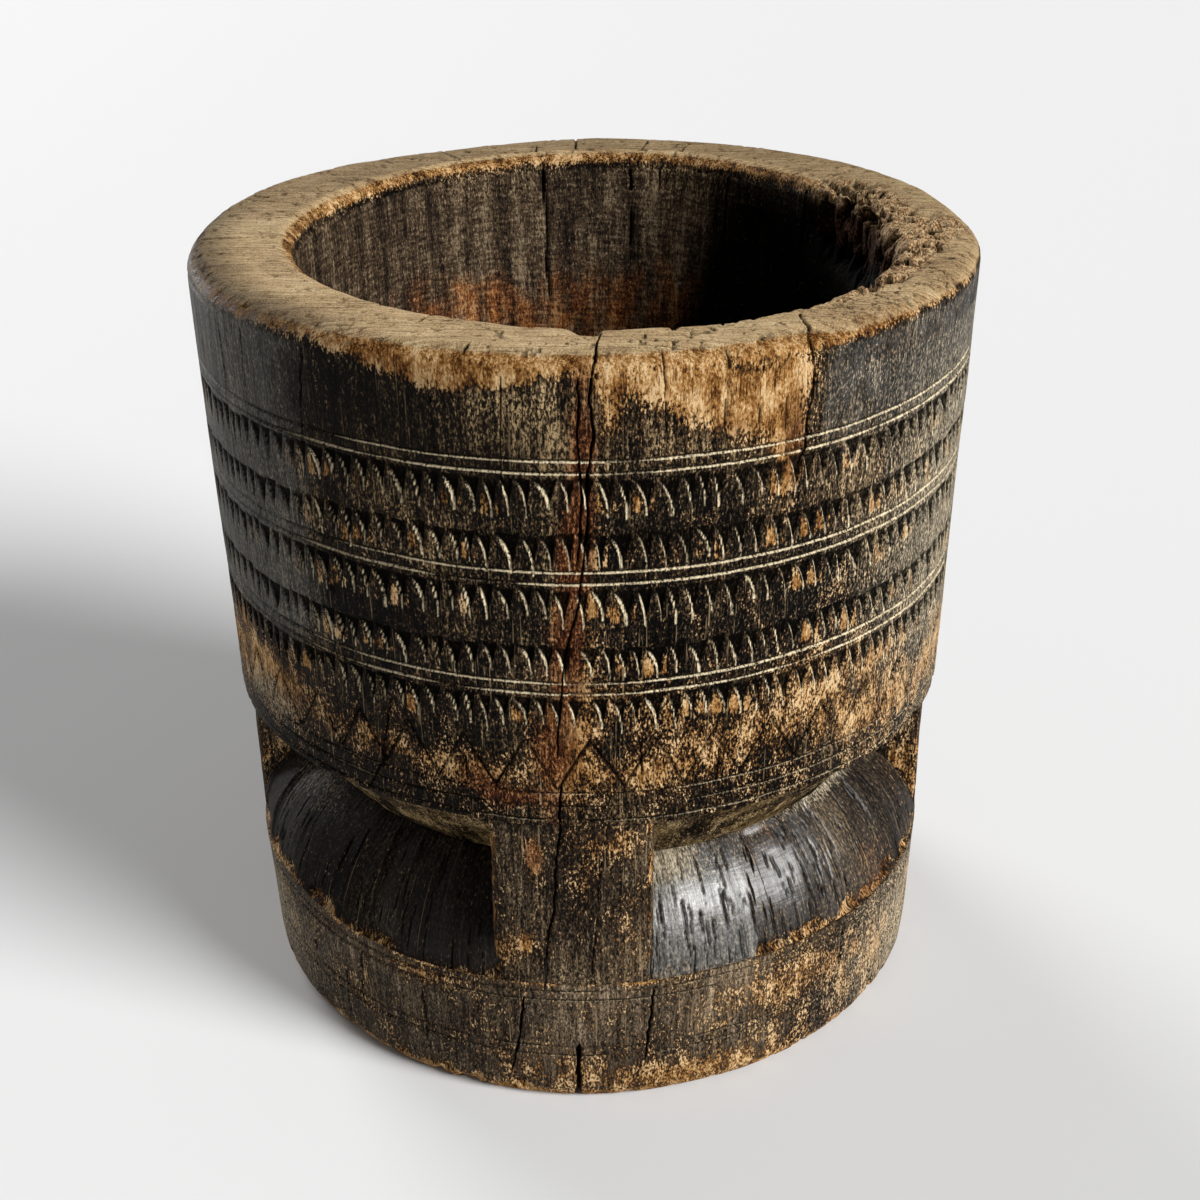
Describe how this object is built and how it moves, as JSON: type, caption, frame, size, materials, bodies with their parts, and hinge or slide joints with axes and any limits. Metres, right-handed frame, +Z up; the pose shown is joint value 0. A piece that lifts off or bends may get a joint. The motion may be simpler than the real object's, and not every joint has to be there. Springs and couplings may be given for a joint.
{
  "type": "carved wooden mortar",
  "caption": "Thick-walled carved wooden mortar: a deep round bowl with gouged and zigzag bands, on a waisted foot with cut-away windows between square struts.",
  "frame": {"origin": "centre of the flat face that the foot stands on", "axes": "+Z up along the axis of the log; one strut faces each of -Y, +X, +Y and -X"},
  "size_m": [0.3293, 0.3294, 0.341],
  "materials": {
    "rim_wood": "worn end grain, matte",
    "wall_wood": "dark patina, worn to golden wood",
    "waist_wood": "rough tooled, matte",
    "skirt_wood": "handled smooth, glossy",
    "foot_wood": "dark patina, worn to golden wood",
    "strut_wood": "dark patina, worn corners"
  },
  "bodies": {
    "root": {"rim": "rim_wood", "plain_collar": "wall_wood", "upper_notch_band": "wall_wood", "middle_notch_band": "wall_wood", "lower_notch_band": "wall_wood", "zigzag_band": "wall_wood", "bowl_floor": "wall_wood", "waist": "waist_wood", "skirt": "skirt_wood", "foot": "foot_wood", "strut_front": "strut_wood", "strut_right": "strut_wood", "strut_back": "strut_wood", "strut_left": "strut_wood"}
  },
  "joints": []
}
